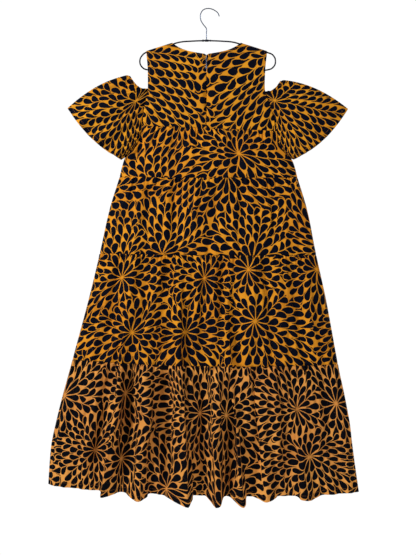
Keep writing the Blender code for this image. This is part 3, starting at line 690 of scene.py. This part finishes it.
EDGE_ROW = 5  # stitches below the neck and beside the armholes
YOKE_WAVES = 0.5
CUT_OUT_FOOT = 236  # the drop where the shoulder's cut-out ends and the sleeve is sewn on
for name, layer, sides, heart in (
    ("yoke_back_left", BACK, (LEFT,), (-300, 116)),
    ("yoke_back_right", BACK, (RIGHT,), (-275, 96)),
    ("yoke_front", FRONT, (LEFT, RIGHT), (-16, 70)),
):
    halves = [yoke_half(layer, side) for side in sides]
    if len(halves) == 2:
        halves[0] = tuple(grid[:, :0:-1] for grid in halves[0])
    points, fallen, height = (np.concatenate(grids, axis=1) for grids in zip(*halves))
    way = layer if len(sides) == 2 else layer * sides[0]
    normals = outward(points, way)
    ripple = wander(points[..., 0] - points[..., 2] * 0.3, layer, 90) * np.clip(fallen / 60, 0, 1)
    to_side = np.abs(points[:, [0, -1], 0]).max(axis=1)[:, None] - np.abs(points[..., 0])
    relief = creases(layer, points) * np.clip(to_side / 12, 0, 1) + ripple * YOKE_WAVES
    relief = relief + sewn_edges(fallen, height, top=False)
    if layer == BACK:
        seam_side = np.abs(points[..., 0])
        relief = relief - 1.1 * np.exp(-((seam_side / 1.5) ** 2)) * (0.45 + 0.55 * (points[..., 2] < -190))
    shaped = points + normals * relief[..., None]
    if layer == BACK:
        shaped[:, 0, 0] = sides[0] * (SEAM_GAP / 2 + 0.1)
    neck, neck_out = line_across(shaped, fallen, EDGE_ROW), line_across(normals, fallen, EDGE_ROW)
    reach = np.abs(neck[:, 0])
    sewn = (reach < NECK_HALF_WIDTH - 4) & (reach > (3 if layer == BACK else -1))
    lines = [(neck[sewn], neck_out[sewn])]
    for side in sides:
        column = int(np.argmin(np.abs(shaped[0, :, 0] - side * (SHOULDER_REACH[side] - EDGE_ROW))))
        beside = (fallen[:, column] > 4) & (shaped[:, column, 2] > -CUT_OUT_FOOT)
        lines.append((shaped[beside, column], normals[beside, column]))
    stitches = sewn_rows(f"{name}_stitches", lines)
    flat = np.stack([points[..., 0] - heart[0], points[..., 2] + heart[1]], axis=-1) * MM
    shaped, flat = turned(shaped, normals, flat, 9, at_top=True)
    piece = make_cloth(f"{name}_cloth", shaped, flat, streaming_cotton, facing_out(layer))
    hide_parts(name)

# The four tiers, each a front and a back panel. The top edge of each is gathered on a thread to the
# panel above, so that it stands a little proud of it and falls in uneven folds that widen downwards.
EDGE_CROWDING = 0.45
TIERS = (  # name, top seam, foot seam, columns, gathers' pitch and height, waves, cut width, finish
    ("tier1", YOKE_SEAM, SECOND_SEAM, 270, 12.0, 3.2, 2.6, 0.59, burst_cotton),
    ("tier2", SECOND_SEAM, THIRD_SEAM, 320, 12.5, 3.8, 4.0, 0.80, burst_cotton),
    ("tier3", THIRD_SEAM, FOURTH_SEAM, 370, 13.0, 4.3, 5.2, 1.02, burst_cotton),
    ("tier4", FOURTH_SEAM, HEM, 420, 14.0, 4.8, 6.2, 1.30, hem_cotton),
)


def gathers(along, fallen, pitch, height, seed):
    """Ridges pulled up by the thread: each of its own height, and opening out at its own length."""
    phase = along / pitch + 0.8 * wander(along, seed, pitch * 9)
    size = height * (0.75 + 0.5 * wander(along, seed + 3, pitch * 5.3))
    opens = 30 + 22 * wander(along, seed + 7, pitch * 7.7)
    rises = 0.35 + 0.65 * np.clip(fallen / 4, 0, 1)
    pleat = 2.2 * np.abs(np.sin(math.pi * phase)) ** 0.75 - 1.2
    ridge = size * pleat * np.exp(-fallen / np.maximum(opens, 9)) * rises
    broad = 0.6 * size * np.cos(TURN * phase / 2.6 + seed) * np.exp(-fallen / 110)
    return ridge + broad * np.clip(fallen / 20, 0, 1)


HEM_TURN = 13  # from the hem up to its row of stitches
for number, (name, top_seam, foot_seam, columns, pitch, gather, wave, cut, finish) in enumerate(TIERS):
    for layer, side in ((BACK, "back"), (FRONT, "front")):
        even = np.linspace(-1, 1, columns + 1)[None, :]
        across = (1 - EDGE_CROWDING) * even + EDGE_CROWDING * np.sin(math.pi / 2 * even)
        top = seam_drop(top_seam, across) + SEAM_GAP
        tall = seam_drop(foot_seam, across) - top
        is_hem = foot_seam is HEM
        v = rows_down(float(tall.mean()))[:, None]
        fallen = tall * v
        points = dress_form(layer, across, top + fallen)
        normals = outward(points, layer)
        along = run_along(points[0])[None, :]
        seed = 3.7 * number + (1.9 if layer == FRONT else 0.4)
        fade = np.clip(np.minimum(along, along[:, -1:] - along) / 9, 0, 1)
        waves = wave * wander(along, seed + 5, 74) * (1 - np.exp(-fallen / 70))
        waves = waves + 0.45 * wave * wander(along + fallen * 0.12, seed + 9, 39) * (1 - np.exp(-fallen / 40))
        relief = (gathers(along, fallen, pitch, gather, seed) + waves) * fade
        relief = relief + creases(layer, points) * fade
        relief = relief + sewn_edges(fallen, tall + 0 * fallen, foot=not is_hem)
        shaped = points + normals * relief[..., None]
        place = (0.31 * number + (0.0 if layer == BACK else 1.7), -0.9 * number)
        printed = run_along(shaped[len(v) // 2])
        flat = np.stack([printed[None, :] * MM + place[0] + 0 * fallen, place[1] - fallen * MM], axis=-1)
        stitches = []
        if is_hem:
            out = outward(shaped, layer)
            drawn = fallen[-1] - HEM_TURN
            lines = [(line_across(shaped, fallen, drawn)[3:-3], line_across(out, fallen, drawn)[3:-3])]
            stitches = [sewn_rows(f"{name}_{side}_hem_stitches", lines)]
            shaped, flat = turned(shaped, out, flat, 5, at_top=False)
        piece = make_cloth(f"{name}_{side}_cloth", shaped, flat, finish, facing_out(layer))
        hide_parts(f"{name}_{side}")

# The flutter sleeves: each a gathered tube of the same cotton, sewn to the lower armhole and drawn up
# by elastic over the shoulder's cut-out, so that it fans out to a hanging point.
YOKE_ROWS = (0, 0.012, 0.03, 0.06, 0.13, 0.28, 0.51, 0.66, 0.82, 1)
TIER_ROWS = (0, 0.15, 0.3, 0.45, 0.6, 0.8, 1)
# Reach and drop of the elastic's top, its sag; reach and drop of the hem's tip and of its underarm
# end; swell of the upper outline and of the hem; and the hem's half depth.
SLEEVES = {
    LEFT: (230, 200, 14, 416, 298, 256, 451, 19, 15, 27),
    RIGHT: (222, 215, 12, 424, 300, 262, 451, 20, 17, 25),
}
# Creases of a sleeve: share round its back or front, where it starts and ends along it, its half
# width as a share of the way round, and its depth.
SLEEVE_CREASES = {
    LEFT: (
        (0.22, 0.0, 0.45, 0.009, 2.6), (0.29, 0.0, 0.5, 0.01, 3.0), (0.36, 0.0, 0.45, 0.009, 3.0),
        (0.43, 0.0, 0.4, 0.009, 2.6), (0.26, 0.0, 0.8, 0.018, 3.4), (0.33, 0.05, 0.6, 0.014, 2.6),
        (0.4, 0.0, 0.9, 0.02, 2.4), (0.19, 0.1, 0.7, 0.014, 2.2), (0.62, 0.0, 0.7, 0.02, 3.0),
        (0.72, 0.05, 0.85, 0.016, 2.6), (0.8, 0.0, 0.6, 0.016, 2.2),
    ),
    RIGHT: (
        (0.2, 0.0, 0.5, 0.009, 3.0), (0.27, 0.0, 0.4, 0.009, 2.8), (0.345, 0.0, 0.45, 0.01, 3.0),
        (0.42, 0.0, 0.4, 0.009, 2.6), (0.24, 0.0, 0.7, 0.016, 2.8), (0.31, 0.0, 0.85, 0.018, 3.4),
        (0.38, 0.1, 0.6, 0.014, 2.4), (0.16, 0.05, 0.8, 0.016, 2.0), (0.6, 0.0, 0.8, 0.018, 2.8),
        (0.69, 0.1, 0.7, 0.016, 2.6), (0.78, 0.0, 0.75, 0.018, 2.4),
    ),
}
SLEEVE_HEM_TURN, ELASTIC_ROWS = 10, (4, 10)  # from the sleeve's two edges to their rows of stitches
SLEEVE_COLUMNS, SLEEVE_LENGTH = 230, 170
SLEEVE_PRINT_HEART = (196, 292)  # reach and drop of the point that its petals stream from


def sleeve_edge(side):
    """The inner edge from the underarm to the elastic's top: reach, drop and depth."""
    reach_at = REACH_LEFT if side == LEFT else REACH_RIGHT
    seam, bottom = seam_drop(YOKE_SEAM, side), seam_drop(SECOND_SEAM, side)
    top = NECK_POINT_DROP + SHOULDER_SLOPE * (SHOULDER_REACH[side] - NECK_HALF_WIDTH)
    drops = [top + (seam - top) * v for v in YOKE_ROWS if 0.51 <= v < 1]
    drops += [seam + (bottom - seam) * v for v in TIER_ROWS if v <= 0.6]
    edge = []
    for i, drop in enumerate(sorted(drops, reverse=True)):
        off = 1.05 + (1.4, 0.7, 0.1)[min(i, 2)]
        slope = float(reach_at(drop + 1) - reach_at(drop - 1)) / 2
        length = math.hypot(1, slope)
        depth = float(EDGE_DEPTH(drop)) - SEAM_GAP / 2
        edge.append((float(reach_at(drop)) + off / length, drop - off * slope / length, depth))
    reach, drop, depth = edge[-1]
    top_x, top_drop, sag = SLEEVES[side][:3]
    for t in (0.3, 0.62, 0.88, 1):
        fall = drop + (top_drop - drop) * t + sag * math.sin(math.pi * t)
        edge.append((reach + (top_x - reach) * t, fall, depth * math.sqrt(1 - t * t)))
    edge[0] = (edge[0][0], edge[0][1], 0.0)
    return edge


def sleeve_grid(side, v):
    """The tube. Columns run round it from the underarm over the back and the top to the front."""
    _, _, _, tip_x, tip_drop, under_x, under_drop, swell, hem_swell, deep = SLEEVES[side]
    edge = sleeve_edge(side)
    last = len(edge) - 1
    u = np.linspace(0, 1, SLEEVE_COLUMNS + 1)[None, :]
    at = np.where(u <= 0.5, u, 1 - u) * 2 * last
    layer = np.where(u <= 0.5, BACK, FRONT)
    reach_at, drop_at, depth_at = (curve_through(range(last + 1), column) for column in zip(*edge))
    eased = [(1 - math.cos(math.pi * i / last)) / 2 for i in range(last + 1)]
    climb = curve_through(range(last + 1), eased)(at)
    hem_run = np.array([tip_x - under_x, tip_drop - under_drop])
    run = hem_run / math.hypot(*hem_run)
    bulge = hem_swell * np.sin(math.pi * climb)
    reach = under_x + (tip_x - under_x) * climb - run[1] * bulge
    drop = under_drop + (tip_drop - under_drop) * climb + run[0] * bulge
    x = reach_at(at) + (reach - reach_at(at)) * v
    down = drop_at(at) + (drop - drop_at(at)) * v - swell * climb**2 * 4 * v * (1 - v)
    round_edge = np.sqrt(np.maximum(0, 4 * climb * (1 - climb)))
    wave = 7 * np.cos(TURN * 3 * climb + layer) * v**1.3
    depth = depth_at(at) * (1 - v) + (deep + wave) * round_edge * v + 9 * round_edge * 4 * v * (1 - v)
    return np.stack([side * x, layer * depth, -down], axis=-1), u + 0 * v


for side, name in ((LEFT, "sleeve_left"), (RIGHT, "sleeve_right")):
    v = rows_down(SLEEVE_LENGTH)[:, None]
    points, u = sleeve_grid(side, v)
    normals = outward(points, -side, closed=True)
    length = np.linalg.norm(points[-1] - points[0], axis=-1)[None, :]
    fallen = v * length
    tuck = np.exp(-((fallen / 5) ** 2)) * np.clip((-CUT_OUT_FOOT - points[:1, :, 2]) / 12, 0, 1)
    tuck = tuck[..., None]
    points = points - tuck * (3.2 * side, 0, 0) - tuck * 1.6 * np.sign(points) * (0, 1, 0)
    crush = 0.8 + 0.6 * wander(u * 500, side, 70)
    phase = u * 38 + 0.9 * wander(u * 500, side + 2, 120)
    pleat = 2.2 * np.abs(np.sin(math.pi * phase)) ** 0.75 - 1.2
    relief = 5.2 * crush * pleat * np.exp(-fallen / (46 + 20 * wander(u * 500, side + 5, 90)))
    pinch = 2.6 * np.exp(-((fallen / 7) ** 2)) * np.clip(fallen / 1.5, 0, 1)
    relief = (relief * np.clip(fallen / 6, 0, 1) - pinch) * np.clip(length / 60, 0, 1)
    relief = relief + 1.6 * wander(u * 500, side + 8, 61) * np.clip(v * 2, 0, 1) * np.clip(length / 90, 0, 1)
    for where_u, start, end, half, deep in SLEEVE_CREASES[side]:
        ends = np.clip((v - start) * 8, 0, 1) * np.clip((end - v) * 3, 0, 1)
        relief = relief - 1.8 * deep * ends * np.exp(-(((u - where_u) / half) ** 2))
    shaped = points + normals * relief[..., None]
    shaped[:, -1] = shaped[:, 0]
    crown = points[:, SLEEVE_COLUMNS // 2][:, None, :]
    run = Vector((crown[-1] - crown[0])[0, ::2]).normalized()
    offset = points - crown
    lengthwise = offset[..., 0] * run.x + offset[..., 2] * run.y
    mirrored = np.where(u <= 0.5, 1, -1)
    sideways = (offset[..., 2] * run.x - offset[..., 0] * run.y) * mirrored
    sideways = sideways * (1 + 0.5 * np.exp(-fallen / 50))
    flat_x = crown[..., 0] + lengthwise * run.x - sideways * run.y
    flat_z = crown[..., 2] + lengthwise * run.y + sideways * run.x
    flat = np.stack([flat_x - side * SLEEVE_PRINT_HEART[0], flat_z + SLEEVE_PRINT_HEART[1]], axis=-1) * MM
    out = outward(shaped, -side, closed=True)
    fallen = fallen + 0 * u
    hem_row = fallen[-1] - SLEEVE_HEM_TURN
    lines = [(line_across(shaped, fallen, hem_row), line_across(out, fallen, hem_row))]
    loose = points[0, :, 2] > -CUT_OUT_FOOT
    for row in ELASTIC_ROWS:
        lines.append((line_across(shaped, fallen, row)[loose], line_across(out, fallen, row)[loose]))
    stitches = sewn_rows(f"{name}_stitches", lines)
    shaped, flat = turned(shaped, out, flat, 5, at_top=False)
    piece = make_cloth(
        f"{name}_cloth", shaped, flat, streaming_cotton,
        lambda centres, s=side: (centres - np.array([s * 0.3, 0, -0.35])) * (0.2, 1, 0.2), closed=True,
    )
    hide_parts(name)

# The hanger: one steel wire in a dark plastic coat, bent to shoulders that drop into open loops, with
# its ends and the foot of a bright zinc-plated hook held in a pressed collar.
coated_wire, shader, where = new_finish("dark_coated_wire", specular_ior_level=0.3)
scuffs = where.node("ShaderNodeTexNoise", {"Vector": where, "Scale": 160.0, "Detail": 4.0})
feed(
    shader,
    base_color=scuffs.rise(0.5, 0.9).blend(rgb(14, 18, 32), rgb(40, 47, 64)),
    roughness=0.4 + scuffs * 0.2,
)
plated_wire, shader, where = new_finish("zinc_plated_wire", metallic=1.0)
drawn = where.node("ShaderNodeTexNoise", {"Vector": where, "Scale": 420.0, "Detail": 3.0})
feed(
    shader,
    base_color=drawn.blend(rgb(78, 88, 108), rgb(122, 132, 150)),
    roughness=0.34 + drawn * 0.22,
)
FRAME_WIRE, HOOK_WIRE = 4.5, 3.1
ARM_TOP_DROP, BAR_DROP, END_TOP_DROP, END_MIDDLE_DROP = 95, 183, 131, 157
END_REACH = {LEFT: 200, RIGHT: 207}
COLLAR_LENGTH, COLLAR_DEPTH, COLLAR_HEIGHT = 26, 7, 6.4
# The hook's wire from its tip over the crown, as (x, z) from the origin, then down the stem.
HOOK_ROUTE = (
    (35.4, -22), (31.5, -13), (22, -4.4), (10, 0.6), (-1, 1.4), (-11.5, -2), (-19, -11), (-21.3, -23),
    (-19.6, -34.5), (-13, -46), (CENTRE_X, -60), (CENTRE_X, -70), (CENTRE_X, -ARM_TOP_DROP + 2),
)


def bent_wire(name, node, route, thickness, finish):
    """A round wire bent smoothly through (x, z) points in millimetres, its ends cut square."""
    bpy.ops.object.select_all(action="DESELECT")
    bpy.ops.curve.primitive_bezier_curve_add(location=(0, 0, 0))
    wire = bpy.context.object
    wire.name = name
    bend = wire.data.splines[0]
    bend.bezier_points.add(len(route) - 2)
    for point, (x, z) in zip(bend.bezier_points, route):
        point.co = (x * MM, 0, z * MM)
        point.handle_left_type = point.handle_right_type = "AUTO"
    wire.data.bevel_depth = thickness / 2 * MM
    wire.data.bevel_resolution = 4
    wire.data.resolution_u = 10
    wire.data.use_fill_caps = True
    bpy.ops.object.convert(target="MESH")
    wire = bpy.context.object
    wire.data.materials.clear()
    wire.data.materials.append(finish)
    bpy.ops.object.shade_smooth_by_angle(angle=math.radians(40))
    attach(wire, "dress")
    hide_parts(node)
    return wire


def arm_route(side):
    """From the collar down the shoulder, round the open end and back along the bar, as (x, z)."""
    under = 3.5 * math.hypot(1, SHOULDER_SLOPE)
    shoulder, reach = SHOULDER_REACH[side], END_REACH[side]
    radius = (BAR_DROP - END_TOP_DROP) / 2
    corner = radius * (1 - math.sqrt(0.5))
    knots = [(8, ARM_TOP_DROP), (45, 96.5), (80, 99.6), (NECK_HALF_WIDTH, NECK_POINT_DROP + under + 0.7)]
    for out in ((NECK_HALF_WIDTH + shoulder) / 2, shoulder):
        knots.append((out, NECK_POINT_DROP + SHOULDER_SLOPE * (out - NECK_HALF_WIDTH) + under))
    knots += [(reach - corner, END_TOP_DROP + corner), (reach, END_MIDDLE_DROP)]
    knots += [(reach - corner, BAR_DROP - corner), (reach - radius, BAR_DROP), (reach - 2 * radius, BAR_DROP)]
    return [(CENTRE_X + side * out, -drop) for out, drop in knots]


frame_route = arm_route(LEFT) + arm_route(RIGHT)[::-1]
bent_wire("coated_frame_wire", "hanger_frame", frame_route, FRAME_WIRE, coated_wire)
bent_wire("plated_hook_wire", "hanger_hook", HOOK_ROUTE, HOOK_WIRE, plated_wire)

bpy.ops.object.select_all(action="DESELECT")
bpy.ops.mesh.primitive_cylinder_add(
    vertices=32, radius=0.5, depth=1,
    location=(CENTRE_X * MM, 0, -ARM_TOP_DROP * MM), rotation=(0, math.pi / 2, 0),
    scale=(COLLAR_HEIGHT * MM, COLLAR_DEPTH * MM, COLLAR_LENGTH * MM),
)
collar = bpy.context.object
collar.name = "pressed_collar"
bpy.ops.object.transform_apply(location=True, rotation=True, scale=True)
bpy.ops.object.mode_set(mode="EDIT")
CRIMPS, CRIMP_HALF, CRIMP_SHARE = (-6.5, 6.5), 2, 0.78  # where it is pressed in, how wide and to what share
for crimp in CRIMPS:
    for x in (crimp - CRIMP_HALF, crimp, crimp + CRIMP_HALF):
        bpy.ops.mesh.select_all(action="SELECT")
        bpy.ops.mesh.bisect(plane_co=((CENTRE_X + x) * MM, 0, 0), plane_no=(1, 0, 0))
bpy.ops.object.mode_set(mode="OBJECT")
for x in CRIMPS:
    for vertex in collar.data.vertices:
        vertex.select = abs(vertex.co.x - (CENTRE_X + x) * MM) < 0.0002
    bpy.ops.object.mode_set(mode="EDIT")
    bpy.ops.transform.resize(
        value=(1, CRIMP_SHARE, CRIMP_SHARE), center_override=((CENTRE_X + x) * MM, 0, -ARM_TOP_DROP * MM)
    )
    bpy.ops.object.mode_set(mode="OBJECT")
edge = collar.modifiers.new("pressed edges", "BEVEL")
edge.width, edge.segments, edge.limit_method = 0.0007, 3, "ANGLE"
bpy.ops.object.modifier_apply(modifier=edge.name)
bpy.ops.object.shade_smooth_by_angle(angle=math.radians(50))
collar.data.materials.append(coated_wire)
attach(collar, "dress")
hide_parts("hanger_ferrule")

# The zip's slider and its slim pull, of grey-blue enamelled metal, at the top of the centre back seam.
zip_enamel, shader, where = new_finish("grey_blue_zip_enamel", metallic=0.7)
rubbed = where.node("ShaderNodeTexNoise", {"Vector": where, "Scale": 700.0, "Detail": 4.0})
feed(
    shader,
    base_color=rubbed.rise(0.4, 0.8).blend(rgb(84, 94, 116), rgb(146, 154, 168)),
    roughness=0.3 + rubbed * 0.2,
)
ZIP_EDGE = 0.00035
bpy.context.view_layer.update()
for node, body in (("zip_slider", "dress"), ("zip_pull", "zip_pull")):
    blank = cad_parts[node]
    mesh = blank.data.copy()
    mesh.transform(blank.matrix_world)
    mesh.materials.clear()
    mesh.materials.append(zip_enamel)
    piece = laid_out(f"enamelled_{node}", mesh)
    bpy.ops.object.mode_set(mode="EDIT")
    bpy.ops.mesh.select_all(action="SELECT")
    bpy.ops.mesh.remove_doubles(threshold=0.00001)
    bpy.ops.mesh.tris_convert_to_quads()
    bpy.ops.mesh.normals_make_consistent(inside=False)
    bpy.ops.object.mode_set(mode="OBJECT")
    edge = piece.modifiers.new("pressed edges", "BEVEL")
    edge.width, edge.segments, edge.limit_method = ZIP_EDGE, 2, "ANGLE"
    bpy.ops.object.modifier_apply(modifier=edge.name)
    bpy.ops.object.shade_smooth_by_angle(angle=math.radians(50))
    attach(piece, body)
    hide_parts(node)
